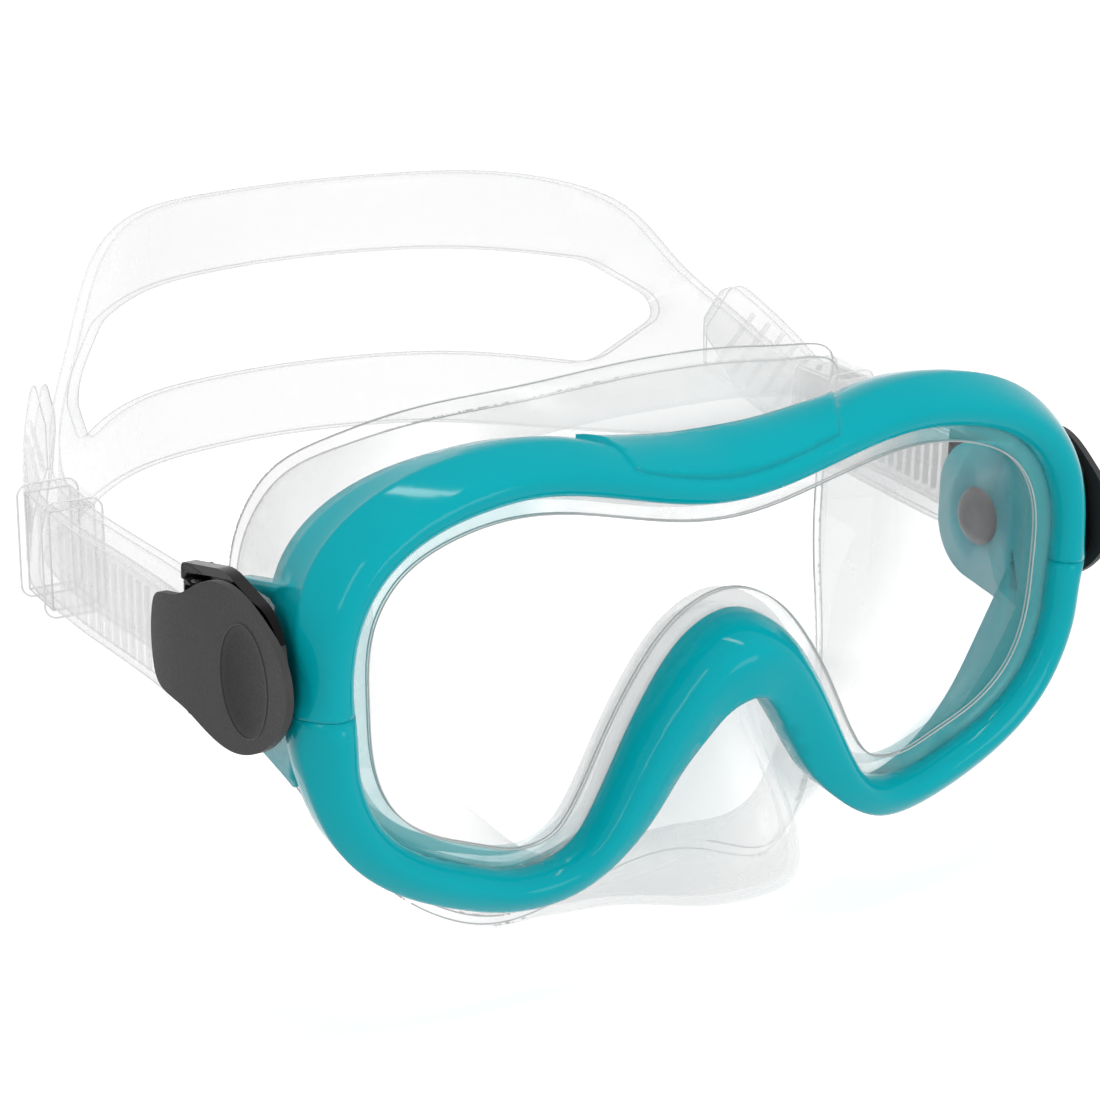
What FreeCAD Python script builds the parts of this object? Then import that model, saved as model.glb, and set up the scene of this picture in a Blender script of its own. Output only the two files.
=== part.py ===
"""Single-lens snorkel mask: lens, skirt, two-part frame, swivelling strap buckles and split strap.

Millimetres. The front of the mask faces -Y, +Z is up and +X is the wearer's left. The origin of the
finished part is the middle of the lens's front face above the nose arch. The pieces are drawn from
the frame's inner front edge and the window's mid-height, and the last step moves them all to there.
"""
import FreeCAD, Part
import math
import os
from FreeCAD import Placement, Rotation, Vector

SIZES = [
    ("window_width", 140.0), ("window_top", 32.2), ("window_bottom", 32.0), ("nose_arch_top", 6.5),
    ("band_scale", 1.0), ("frame_wall", 2.0), ("frame_back", 1.3), ("brow_proud", 2.0),
    ("seam_height", 2.8), ("seam_gap", 0.15), ("origin_height", 16.0),
    ("lens_thickness", 3.0), ("lens_overlap", 1.5), ("lip_cover", 3.3), ("lip_thickness", 0.8),
    ("rear_lip_cover", 2.0), ("rear_lip_thickness", 1.2), ("rim_overlap", 3.2),
    ("skirt_wall", 1.8), ("seal_thickness", 1.2), ("soft_gap", 0.1),
    ("face_radius", 68.8), ("face_front", 20.0),
    ("wing_inset", 3.2), ("wing_wall", 2.4), ("pivot_back", 25.0), ("pivot_height", 3.0),
    ("wing_tip_radius", 11.5), ("post_radius", 3.5), ("post_head_radius", 5.5),
    ("post_head_height", 1.6), ("running_gap", 0.05), ("side_gap", 0.25),
    ("buckle_floor", 1.6), ("buckle_rim", 1.4), ("buckle_rim_height", 2.2),
    ("swing_disc_radius", 14.0), ("nose_lift", 3.3),
    ("strap_width", 17.6), ("strap_thickness", 1.8), ("strap_centre_height", 5.0),
    ("roller_radius", 1.8), ("roller_back", 31.0), ("roller_gap", 0.25), ("roller_pin_radius", 0.9),
    ("lever_thickness", 1.3), ("lever_pin_radius", 0.9), ("lever_pin_back", 19.0),
    ("lever_pin_inset", 3.1), ("lever_barrel_radius", 1.8), ("pad_dish_depth", 0.6),
    ("spring_thickness", 0.3), ("spring_width", 7.0),
    ("ear_thickness", 1.8), ("keeper_length", 12.0), ("keeper_wall", 1.5), ("keeper_gap", 0.3),
    ("keeper_back", 85.0),
    ("strap_back", 165.6), ("strap_lean", 13.0), ("strap_upper_band", 17.4),
    ("strap_lower_band", 15.5), ("tail_length", 84.0),
]

doc = FreeCAD.newDocument("snorkel_mask")
sheet = doc.addObject("Spreadsheet::Sheet", "sizes")
for row, (alias, value) in enumerate(SIZES, start=1):
    sheet.set("A%d" % row, alias)
    sheet.set("B%d" % row, str(value))
    sheet.setAlias("B%d" % row, alias)
doc.recompute()


def size(alias):
    """Value of one named size, in millimetres or degrees."""
    return float(sheet.get(alias))


# ---------------------------------------------------------------- shared outlines

# Stations round half of the window, from the middle of the brow to the top of the nose arch.
# Each gives the window's inner edge and the frame's outer ridge as (x, z), how far back the
# ridge and the frame's rear edge lie, how much the wall leans inwards, and the crest's height.
STATIONS = [
    ((0.0, 25.6), (0.0, 32.2), 2.5, 9.0, 2.5, 2.0),
    ((12.0, 27.0), (11.2, 33.9), 2.5, 9.5, 2.3, 2.0),
    ((26.0, 30.4), (24.2, 38.2), 2.8, 11.0, 2.0, 2.2),
    ((40.0, 32.2), (41.0, 40.6), 3.5, 12.5, 2.0, 2.5),
    ((54.0, 29.9), (58.5, 37.4), 5.0, 14.5, 1.8, 2.8),
    ((64.0, 24.2), (71.3, 29.6), 5.5, 16.5, 1.6, 3.0),
    ((69.0, 16.0), (77.6, 18.3), 4.0, 17.0, 1.8, 3.0),
    ((70.1, 2.8), (79.2, 2.8), 2.0, 15.0, 3.2, 3.0),
    ((69.3, -8.0), (77.4, -9.4), 1.5, 16.0, 3.8, 3.0),
    ((66.0, -17.0), (72.7, -20.7), 1.0, 16.0, 4.6, 3.0),
    ((58.0, -24.7), (63.2, -30.2), 0.4, 13.0, 4.4, 3.2),
    ((48.0, -29.3), (50.8, -36.1), -0.4, 10.0, 3.0, 3.4),
    ((38.5, -32.0), (38.4, -38.8), -1.2, 8.4, 1.8, 3.8),
    ((31.0, -30.3), (28.3, -36.0), -3.2, 6.6, 1.5, 4.8),
    ((26.0, -24.7), (18.4, -28.3), -4.0, 4.4, 1.0, 6.0),
    ((20.5, -14.0), (11.5, -18.8), -4.4, 3.0, 1.0, 6.8),
    ((15.0, -4.4), (7.3, -12.4), -6.0, 2.5, 1.0, 7.8),
    ((8.5, 3.2), (4.1, -8.2), -7.4, 2.5, 1.0, 9.0),
    ((0.0, 6.5), (0.0, -6.3), -8.4, 2.5, 1.0, 9.8),
]
SEAM = 7
WIDEST = 7
LAST = len(STATIONS) - 1
NOMINAL_WIDTH = 140.0
NOMINAL_TOP = 32.2
NOMINAL_BOTTOM = 32.0
NOMINAL_ARCH = 6.5


def wing_outer():
    """How far out the side wings' outer faces lie, a step inside the frame's widest ridge."""
    ridge = STATIONS[WIDEST][1][0] * size("window_width") / NOMINAL_WIDTH
    return ridge - size("wing_inset")


def fitted(point):
    """A station point moved to the window's own width and heights."""
    across = point[0] * size("window_width") / NOMINAL_WIDTH
    if point[1] >= 0:
        return Vector(across, 0, point[1] * size("window_top") / NOMINAL_TOP)
    return Vector(across, 0, point[1] * size("window_bottom") / NOMINAL_BOTTOM)


def station(index):
    """Inner edge, outward direction, width and depths of the frame at one station."""
    edge, ridge, ridge_back, rear, lean, crest = STATIONS[index]
    start = fitted(edge)
    reach = fitted(ridge) - start
    if index == LAST:
        start.z = size("nose_arch_top")
    width = reach.Length * size("band_scale")
    return start, reach.normalize(), width, ridge_back, rear, lean, crest


def mirrored(vector):
    return Vector(-vector.x, vector.y, vector.z)


def round_trip(half):
    """Points of the whole outline from those of its half, which starts and ends at x = 0."""
    return half + [mirrored(v) for v in reversed(half[1:-1])]


def closed_spline(points):
    curve = Part.BSplineCurve()
    curve.interpolate(Points=points, PeriodicFlag=True)
    return Part.Wire(curve.toShape())


def open_spline(points):
    curve = Part.BSplineCurve()
    curve.interpolate(Points=points)
    return curve.toShape()


def window_outline(offset, back):
    """The window's outline moved outwards by an offset, in a plane some way back."""
    half = []
    for index in range(len(STATIONS)):
        start, outward = station(index)[:2]
        half.append(start + outward * offset + Vector(0, back, 0))
    return closed_spline(round_trip(half))


def slab(wire, depth):
    return Part.Face(wire).extrude(Vector(0, depth, 0))


def rounded_outline(corners, lift=None):
    """Closed wire through corners (a, b, radius), each turned into an arc of its radius."""
    place = lift or (lambda a, b: Vector(a, b, 0))
    count = len(corners)
    edges = []
    ends = []
    for i in range(count):
        before = Vector(*corners[i - 1][:2])
        here = Vector(*corners[i][:2])
        after = Vector(*corners[(i + 1) % count][:2])
        radius = corners[i][2]
        to_before = (before - here).normalize()
        to_after = (after - here).normalize()
        half_angle = to_before.getAngle(to_after) / 2
        run = radius / math.tan(half_angle)
        centre = here + (to_before + to_after).normalize() * (radius / math.sin(half_angle))
        middle = centre + (here - centre).normalize() * radius
        ends.append((here + to_before * run, middle, here + to_after * run))
    for i in range(count):
        first, middle, last = ends[i]
        following = ends[(i + 1) % count][0]
        edges.append(Part.Arc(place(first.x, first.y), place(middle.x, middle.y),
                              place(last.x, last.y)).toShape())
        if (following - last).Length > 1e-4:
            edges.append(Part.LineSegment(place(last.x, last.y),
                                          place(following.x, following.y)).toShape())
    return Part.Wire(edges)


def side_prism(corners, start, end):
    """Prism along X whose outline has corners (y, z, radius)."""
    wire = rounded_outline(corners, lambda a, b: Vector(start, a, b))
    return Part.Face(wire).extrude(Vector(end - start, 0, 0))


# ---------------------------------------------------------------- document objects

def feature(label, shape):
    node = doc.addObject("Part::Feature", label)
    node.Label = label
    node.Shape = shape
    node.Placement = Placement()
    return node


def origin_plane(body, role):
    return next(item for item in body.Origin.OriginFeatures if item.Role == role)


def new_body(label):
    body = doc.addObject("PartDesign::Body", label)
    body.Label = label
    return body


def add_sketch(body, name, role, geometry, offset_rule=None):
    """Sketch on one of the body's origin planes, moved along the plane's normal by a rule."""
    sketch = body.newObject("Sketcher::SketchObject", name)
    sketch.AttachmentSupport = [(origin_plane(body, role), "")]
    sketch.MapMode = "FlatFace"
    if offset_rule:
        sketch.setExpression("AttachmentOffset.Base.z", offset_rule)
    for piece in geometry:
        sketch.addGeometry(piece, False)
    return sketch


def add_pad(body, name, sketch, length_rule, reverse=False):
    pad = body.newObject("PartDesign::Pad", name)
    pad.Profile = sketch
    pad.setExpression("Length", length_rule)
    pad.Reversed = reverse
    return pad


def circle(centre, radius):
    return Part.Circle(Vector(centre[0], centre[1], 0), Vector(0, 0, 1), radius)


def mirror_node(source, label):
    node = doc.addObject("Part::Mirroring", label)
    node.Label = label
    node.Source = source
    node.Normal = Vector(1, 0, 0)
    return node


# ---------------------------------------------------------------- lens

def make_lens():
    """Flat pane of tempered glass, cut to the window with a margin under the frame."""
    body = new_body("lens")
    half = []
    for index in range(len(STATIONS)):
        start, outward = station(index)[:2]
        point = start + outward * size("lens_overlap")
        half.append(Vector(point.x, point.z, 0))
    curve = Part.BSplineCurve()
    curve.interpolate(Points=round_trip(half), PeriodicFlag=True)
    sketch = add_sketch(body, "lens_outline", "XZ_Plane", [curve],
                        "-(sizes.frame_back + sizes.soft_gap + sizes.lip_thickness)")
    add_pad(body, "lens_pane", sketch, "sizes.lens_thickness", True)
    return body


# ---------------------------------------------------------------- frame

def frame_section(index, side):
    """Closed section of the frame's band at one station, on the +X or -X side."""
    start, outward, width, ridge_back, rear, lean, crest = station(index)
    wall = size("frame_wall")
    shoulder = min(7.0, rear - 1.0)
    front = [(0.0, 0.0), (0.10, 0.62 * crest), (0.36, crest),
             (0.70, crest - 0.30 * (crest + ridge_back)), (1.0, -ridge_back)]

    def point(across, back):
        spot = start + outward * across + Vector(0, back, 0)
        return spot if side > 0 else mirrored(spot)

    crown = open_spline([point(share * width, -height) for share, height in front])
    corners = [
        point(width, ridge_back), point(width - 0.4, shoulder), point(width - lean, rear),
        point(width - lean - wall, rear), point(width - 0.4 - wall, shoulder),
        point(width - wall, size("frame_back")), point(0.0, size("frame_back")), point(0.0, 0.0)]
    lines = [Part.LineSegment(a, b).toShape() for a, b in zip(corners, corners[1:])]
    return Part.Wire([crown] + lines)


def band_solid(indices):
    """Band of the frame between two seams, through the stations on both sides."""
    sections = [frame_section(i, 1) for i in indices]
    sections += [frame_section(i, -1) for i in reversed(indices[:-1])]
    return Part.makeLoft(sections, True, False, False)


def wing_prism(grow, start, end):
    """Side wing that carries a buckle: it tapers from the frame's wall to the pivot."""
    back = size("pivot_back")
    middle = size("pivot_height")
    tip = size("wing_tip_radius") + grow
    corners = [
        (8.0 - grow, middle + 19.5 + grow, 2.0), (13.0, middle + 17.5 + grow, 6.0),
        (back + tip, middle + tip, tip - 1.0), (back + tip, middle - tip, tip - 1.0),
        (13.0, middle - 15.0 - grow, 6.0), (8.0 - grow, middle - 16.0 - grow, 2.0)]
    return side_prism(corners, start, end)


# Raised ledge over the brow at five stations of its half, as the distance across, the height of
# the frame's ridge there, and how far the ledge's middle and rear edge stand above that ridge.
BROW_PANEL = [
    (0.0, 32.2, 1.5, 3.7), (11.0, 33.8, 1.4, 2.5), (17.0, 35.3, 1.1, 1.7), (22.0, 37.2, 0.7, 0.5),
    (27.0, 38.7, 0.6, 0.0)]


def brow_panel():
    """Raised ledge over the brow: it rises to a free rear edge and ends in a curved step."""
    lift = size("brow_proud") / 2.0
    front, middle, rear = -1.0, 2.8, 9.0
    thick = 1.8
    sections = []
    for side in (-1, 1):
        for across, ridge, crown, edge in sorted(BROW_PANEL, reverse=side < 0):
            if side > 0 and across == 0.0:
                continue
            top = [(front, ridge - 2.0), (middle, ridge + crown * lift), (rear, ridge + edge * lift)]
            under = [(rear, ridge + edge * lift - thick), (middle + 1.4, ridge - 0.8),
                     (front + 1.2, ridge - 2.6)]
            top = [fitted((side * across, z)) + Vector(0, y, 0) for y, z in top]
            under = [fitted((side * across, z)) + Vector(0, y, 0) for y, z in under]
            line = [top[-1]] + under + [top[0]]
            edges = [open_spline(top)]
            edges += [Part.LineSegment(p, q).toShape() for p, q in zip(line, line[1:])]
            sections.append(Part.Wire(edges))
    ledge = Part.makeLoft(sections, True, False, False)
    half = [(25.7, rear + 0.4, 0.4), (22.4, 4.0, 8.0), (19.0, -3.0, 2.0)]
    plan = [(-x, y, r) for x, y, r in half[:1]] + half
    plan += [(-x, y, r) for x, y, r in reversed(half[1:])]
    outline = rounded_outline(plan, lambda a, b: Vector(a, b, 0))
    return ledge.common(Part.Face(outline).extrude(Vector(0, 0, 60)))


def swing_room():
    """Room on both sides in which the buckles' discs turn."""
    disc = pivot_disc(size("swing_disc_radius") + size("side_gap"),
                      wing_outer(), wing_outer() + 10)
    return disc.fuse(disc.mirror(Vector(0, 0, 0), Vector(1, 0, 0)))


def make_frame_upper():
    """Upper half of the frame with the brow ledge and both wings, moulded in one."""
    shape = band_solid(list(range(SEAM, -1, -1)))
    shape = shape.fuse(brow_panel())
    outer = wing_outer()
    inner = outer - size("wing_wall")
    wing = wing_prism(0.0, inner, outer)
    hole = Part.makeCylinder(size("post_radius") + size("running_gap"), size("wing_wall") + 2,
                             Vector(inner - 1, size("pivot_back"), size("pivot_height")),
                             Vector(1, 0, 0))
    wing = wing.cut(hole)
    both = wing.fuse(wing.mirror(Vector(0, 0, 0), Vector(1, 0, 0)))
    shape = shape.fuse(both).cut(swing_room()).removeSplitter()
    return feature("frame_upper", shape)


def make_frame_lower():
    """Lower half of the frame, round both lobes and over the nose arch."""
    shape = band_solid(list(range(SEAM, LAST + 1)))
    gap = size("seam_gap")
    above = Part.makeBox(30, 60, 30, Vector(60, -20, size("seam_height") - gap))
    shape = shape.cut(above).cut(above.mirror(Vector(0, 0, 0), Vector(1, 0, 0)))
    outer = wing_outer()
    inner = outer - size("wing_wall")
    room = wing_prism(gap, inner - gap, outer + gap)
    shape = shape.cut(room).cut(room.mirror(Vector(0, 0, 0), Vector(1, 0, 0)))
    return feature("frame_lower", shape.cut(swing_room()))


# ---------------------------------------------------------------- skirt

# Rear rim of the skirt and inner edge of its face seal at each station, as (x, z).
SKIRT_RIM = [
    (0.0, 45.5), (12.0, 44.8), (26.5, 42.2), (41.0, 38.4), (51.8, 32.2), (58.6, 24.6),
    (61.8, 14.5), (63.0, 3.0), (63.0, -9.0), (61.3, -20.0), (57.8, -30.0), (51.5, -42.0),
    (44.0, -51.0), (36.0, -55.6), (28.0, -56.2), (20.0, -53.4), (13.0, -50.0), (6.5, -47.6),
    (0.0, -46.8)]
SEAL_EDGE = [
    (0.0, 36.5), (11.5, 36.0), (24.0, 33.8), (36.0, 30.0), (42.6, 24.6), (45.8, 18.4),
    (46.6, 11.0), (46.8, 2.6), (46.6, -6.0), (46.0, -14.0), (43.6, -22.6), (38.0, -29.4),
    (32.4, -34.6), (28.0, -39.2), (23.6, -42.6), (17.8, -43.8), (12.0, -43.4), (6.0, -42.4),
    (0.0, -42.0)]
# Where the nose pocket runs in front of the rim, as (x, y, z), from the nose side of each lobe to
# the middle: under the arch, down the bridge, at the tip and under the nostrils.
NOSE_RAILS = {
    13: [(28.3, 10.8, -37.0), (27.4, 13.0, -42.0), (29.6, 17.5, -48.0), (32.6, 23.5, -52.6)],
    14: [(18.4, 7.0, -31.5), (16.6, 3.0, -36.0), (18.2, 6.0, -43.6), (23.0, 15.5, -51.2)],
    15: [(11.4, 4.0, -22.0), (10.6, -4.0, -30.5), (13.2, -2.5, -40.8), (16.4, 10.0, -48.6)],
    16: [(7.2, 1.0, -15.6), (7.0, -9.6, -26.5), (9.0, -10.0, -39.2), (10.8, 5.0, -46.8)],
    17: [(3.9, 0.0, -11.4), (3.7, -12.4, -23.6), (4.7, -13.4, -38.4), (5.6, 3.0, -46.2)],
    18: [(0.0, 0.0, -9.8), (0.0, -13.0, -22.6), (0.0, -14.4, -38.0), (0.0, 2.6, -46.0)],
}


def on_face(point):
    """A point (x, z) set back onto the cylinder that stands for the wearer's face."""
    radius = size("face_radius")
    spot = fitted(point)
    depth = size("face_front") + radius - math.sqrt(max(radius ** 2 - spot.x ** 2, 0.0))
    return Vector(spot.x, depth, spot.z)


def skirt_rail(index):
    """Points of the skirt's outer face at one station, from the lens rim to the rear rim."""
    start, outward, width, ridge_back, rear, lean, crest = station(index)
    root = size("rim_overlap") - 0.5
    front = start + outward * root + Vector(0, skirt_front(), 0)
    clear = width - lean - size("frame_wall") - 0.7
    behind = start + outward * min(clear, root) + Vector(0, rear, 0)
    rim = on_face(SKIRT_RIM[index])
    if index in NOSE_RAILS:
        behind.y = skirt_front() + 1.8
        nose = [fitted((p[0], p[2])) + Vector(0, p[1], 0) for p in NOSE_RAILS[index]]
        turn = behind + (nose[0] - behind) * 0.4 + Vector(0, 1.2, 0)
        middle = [turn] + nose + [nose[-1] + (rim - nose[-1]) * 0.5]
    else:
        middle = [behind + (rim - behind) * (share / 7.0) for share in range(1, 7)]
    return [front, behind] + middle + [rim]


def skirt_front():
    return (size("frame_back") + size("soft_gap") + size("lip_thickness")
            + size("lens_thickness") + 0.5 * size("rear_lip_thickness"))


def inner_grid(grid, wall):
    """The same grid moved inwards by the wall's thickness along its own normals."""
    rows = len(grid)
    columns = len(grid[0])
    moved = []
    for r in range(rows):
        ring = []
        for c in range(columns):
            along = grid[min(r + 1, rows - 1)][c] - grid[max(r - 1, 0)][c]
            around = grid[r][(c + 1) % columns] - grid[r][c - 1]
            normal = around.cross(along).normalize()
            ring.append(grid[r][c] - normal * wall)
        moved.append(ring)
    return moved


def half_surface(grid):
    """Smooth surface through the grid's +X half, from the middle of the brow to the chin."""
    count = len(grid[0])
    extra = 2
    columns = range(-extra, LAST + extra + 1)
    surface = Part.BSplineSurface()
    surface.interpolate([[ring[c % count] for c in columns] for ring in grid])
    rows = surface.getUKnots()
    knots = surface.getVKnots()
    surface.segment(rows[0], rows[-1], knots[extra], knots[extra + LAST])
    return surface


def half_curve(ring):
    """Smooth curve through the ring's +X half."""
    count = len(ring)
    extra = 2
    points = [ring[c % count] for c in range(-extra, LAST + extra + 1)]
    curve = Part.BSplineCurve()
    curve.interpolate(Points=points)
    knots = curve.getKnots()
    curve.segment(knots[extra], knots[extra + LAST])
    return curve.toShape()


def seal_rings():
    """Both edges of the face seal's inner opening and the corner in front of the rear rim."""
    axis = size("face_front") + size("face_radius")
    flange = size("seal_thickness")
    corner = []
    rear_edge = []
    front_edge = []
    for rim_point, seal_point in zip(SKIRT_RIM, SEAL_EDGE):
        rim = on_face(rim_point)
        seal = on_face(seal_point)
        into_face = Vector(-rim.x, axis - rim.y, 0).normalize()
        corner.append(rim + (seal - rim).normalize() * 1.3 * size("skirt_wall")
                      - into_face * flange)
        into_face = Vector(-seal.x, axis - seal.y, 0).normalize()
        rear_edge.append(seal)
        front_edge.append(seal - into_face * flange)
    return round_trip(corner), round_trip(rear_edge), round_trip(front_edge)


def skirt_wall_solid():
    """Side walls, nose pocket and face seal as one solid of even thickness."""
    rails = [skirt_rail(i) for i in range(len(STATIONS))]
    outer = [round_trip([rail[r] for rail in rails]) for r in range(len(rails[0]))]
    corner, rear_edge, front_edge = seal_rings()
    inner = inner_grid(outer, size("skirt_wall"))[:-1] + [corner]
    inner[0] = [Vector(point.x, skirt_front(), point.z) for point in inner[0]]
    surfaces = [half_surface(grid) for grid in (outer, inner)]
    faces = [surface.toShape() for surface in surfaces]
    front_edges = [surface.uIso(surface.getUKnots()[0]).toShape() for surface in surfaces]
    rim_edges = [surface.uIso(surface.getUKnots()[-1]).toShape() for surface in surfaces]
    seal_edges = [half_curve(rear_edge), half_curve(front_edge)]
    faces.append(Part.makeRuledSurface(*front_edges, 1))
    faces.append(Part.makeRuledSurface(rim_edges[0], seal_edges[0], 1))
    faces.append(Part.makeRuledSurface(rim_edges[1], seal_edges[1], 1))
    faces.append(Part.makeRuledSurface(*seal_edges, 1))
    faces += [face.mirror(Vector(0, 0, 0), Vector(1, 0, 0)) for face in faces]
    shell = Part.makeShell(faces)
    shell.sewShape()
    wall = Part.makeSolid(Part.Shell(shell.Faces))
    if wall.Volume < 0:
        wall.reverse()
    return wall


def make_skirt():
    """Clear skirt: lens rim with its groove, side walls, nose pocket and face seal in one."""
    wall = skirt_wall_solid()
    front = size("frame_back") + size("soft_gap")
    lens_front = front + size("lip_thickness")
    lens_rear = lens_front + size("lens_thickness")
    rear = lens_rear + size("rear_lip_thickness")
    rim = slab(window_outline(size("rim_overlap"), front), rear - front)
    rim = rim.cut(slab(window_outline(-size("lip_cover"), front - 1), lens_front - front + 1.1))
    rim = rim.cut(slab(window_outline(-size("rear_lip_cover"), lens_front), rear - front + 1))
    groove = slab(window_outline(size("lens_overlap") + 0.02, lens_front), size("lens_thickness"))
    rim = rim.cut(groove)
    return feature("skirt", rim.fuse(wall, 1e-4))


# ---------------------------------------------------------------- swivel post

def make_swivel_post():
    """Snap post of a buckle: a shaft through the wing with a domed head inside the mask."""
    body = new_body("swivel_post_left")
    inner = wing_outer() - size("wing_wall")
    tip = wing_outer() + size("side_gap") + size("buckle_floor")
    head = size("post_head_radius")
    base = inner - 0.1
    top = base - size("post_head_height")
    shaft = size("post_radius")
    crown = 0.3 * head
    points = [(top, crown), (top, 0.0), (tip, 0.0), (tip, shaft), (base, shaft), (base, head)]
    geometry = [Part.LineSegment(Vector(*a), Vector(*b))
                for a, b in zip([p + (0,) for p in points], [p + (0,) for p in points[1:]])]
    middle = Vector(base - 0.72 * size("post_head_height"), 0.80 * head, 0)
    geometry.append(Part.Arc(Vector(base, head, 0), middle, Vector(top, crown, 0)))
    sketch = add_sketch(body, "post_profile", "XY_Plane", geometry)
    turn = body.newObject("PartDesign::Revolution", "post_turned")
    turn.Profile = sketch
    turn.ReferenceAxis = (sketch, ["H_Axis"])
    turn.Angle = 360
    body.Placement = Placement(Vector(0, size("pivot_back"), size("pivot_height")), Rotation())
    return body


# ---------------------------------------------------------------- buckle

def buckle_floor_face():
    return wing_outer() + size("side_gap") + size("buckle_floor")


def strap_inner_face():
    return buckle_floor_face() + 0.4


def roller_across():
    """How far out the roller's axis lies, so that the strap just clears the buckle's floor."""
    return strap_inner_face() + size("strap_thickness") + size("roller_radius") + size("roller_gap")


def tail_outer_face():
    return roller_across() + size("roller_radius") + size("roller_gap") + size("strap_thickness")


def lever_curve(inset):
    """Plan of the lever's outer face, from its nose to its tail, moved inwards by an inset."""
    tail = tail_outer_face() + 0.3 + size("lever_thickness") - inset
    nose = wing_outer() + 6.4 - inset
    return [(nose, -3.0), (nose + 0.24 * (tail - nose), 8.0), (nose + 0.56 * (tail - nose), 18.0),
            (nose + 0.90 * (tail - nose), 28.5), (tail, 38.4)]


def lever_slab(inset_out, inset_in, low, high):
    """Curved slab between two insets of the lever's outer face."""
    outer = [Vector(a, b, low) for a, b in lever_curve(inset_out)]
    inner = [Vector(a, b, low) for a, b in lever_curve(inset_in)]
    edges = [open_spline(outer), Part.LineSegment(outer[-1], inner[-1]).toShape(),
             open_spline(inner), Part.LineSegment(inner[0], outer[0]).toShape()]
    return Part.Face(Part.Wire(Part.__sortEdges__(edges))).extrude(Vector(0, 0, high - low))


# Outline of the lever seen from the side, as (y, height over the strap's middle): straight tail,
# shallow dip in the top edge, hump, round nose and a long curve back under the thumb pad.
LEVER_EDGE = [
    (37.2, -1.6), (36.9, 5.0), (35.0, 8.8), (30.5, 10.2), (26.2, 11.8), (21.4, 14.8),
    (16.6, 16.3), (11.2, 15.6), (5.4, 12.8), (0.9, 9.6), (-1.5, 5.4), (-1.6, 0.6), (1.4, -4.6),
    (7.2, -9.2), (14.0, -11.2), (20.4, -10.2), (26.4, -8.2), (31.8, -7.4), (35.6, -6.0)]


def lever_outline(across):
    """Closed outline of the lever in a plane at a distance across."""
    middle = size("strap_centre_height")
    return closed_spline([Vector(across, y, middle + z) for y, z in LEVER_EDGE])


def buckle_outline(shrink):
    """Side outline of the buckle body: it follows the lever, with a square end at the strap."""
    middle = size("strap_centre_height")
    back = size("roller_back") + 7.0 - shrink
    return [
        (back, middle + 12.2 - shrink, 1.6), (21.5, middle + 16.2 - shrink, 14.0),
        (5.0 + shrink, middle + 13.2 - shrink, 8.0 - shrink),
        (1.0 + shrink, middle - 3.0, 7.0), (12.0, middle - 11.2 + shrink, 8.0),
        (back, middle - 10.8 + shrink, 1.6)]


def pin_place(kind):
    """Axis of the roller's pin or of the lever's pin, as (x, y)."""
    if kind == "roller":
        return roller_across(), size("roller_back")
    lever = lever_curve(size("lever_pin_inset"))
    return lever[2][0], size("lever_pin_back")


def ear_span():
    """Heights between which the buckle's ears stand clear of the strap."""
    half = size("strap_width") / 2 + 0.6
    return size("strap_centre_height") - half, size("strap_centre_height") + half


def pivot_disc(radius, start, end):
    """Disc on the swivel's axis."""
    return Part.makeCylinder(radius, end - start,
                             Vector(start, size("pivot_back"), size("pivot_height")),
                             Vector(1, 0, 0))


def make_buckle_body():
    """Glossy buckle body: a turning disc on the wing, a rimmed plate, a strap channel and four ears."""
    floor = buckle_floor_face()
    start = wing_outer() + size("side_gap")
    plate = start + size("nose_lift")
    top = plate + size("buckle_rim_height")
    back = size("pivot_back")
    low, high = ear_span()
    ears = size("ear_thickness")
    shell = side_prism(buckle_outline(0.0), plate, top)
    shell = shell.fuse(pivot_disc(size("swing_disc_radius"), start, plate + 0.1))
    shell = shell.fuse(Part.makeBox(plate + 0.1 - start, size("roller_back") + 7.0 - back,
                                    high - low + 2 * ears, Vector(start, back, low - ears)))
    shell = shell.cut(side_prism(buckle_outline(size("buckle_rim")), plate + 0.75, top + 1))
    shell = shell.cut(pivot_disc(size("swing_disc_radius") - 1.4, floor, plate + 2))
    shell = shell.cut(Part.makeBox(20, 60, high - low, Vector(floor, back - 4, low)))
    front_half = Part.makeBox(60, 60, 120, Vector(start - 10, size("lever_pin_back") - 60, -60))
    shell = shell.cut(lever_slab(size("lever_thickness") + 1.1, -14.0, -60, 60).common(front_half))
    shell = shell.cut(lever_slab(size("lever_thickness") + 0.5, -14.0, -60, 60))
    for kind, radius in (("roller", size("roller_pin_radius")), ("lever", size("lever_pin_radius"))):
        across, along = pin_place(kind)
        length = high - low + 2 * size("ear_thickness")
        for base in (low - size("ear_thickness"), high):
            post = Part.makeBox(across - floor + 0.3, 2 * radius + 2.4, size("ear_thickness"),
                                Vector(floor - 0.3, along - radius - 1.2, base))
            cap = Part.makeCylinder(radius + (1.2 if kind == "roller" else 0.7),
                                    size("ear_thickness"), Vector(across, along, base))
            shell = shell.fuse(post).fuse(cap)
        shell = shell.cut(Part.makeCylinder(radius + 0.01, length + 2,
                                            Vector(across, along, low - size("ear_thickness") - 1)))
    shell = shell.cut(pivot_disc(size("post_radius") + 0.01, start - 5, start + 5))
    return feature("buckle_body_left", shell.removeSplitter())


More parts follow.
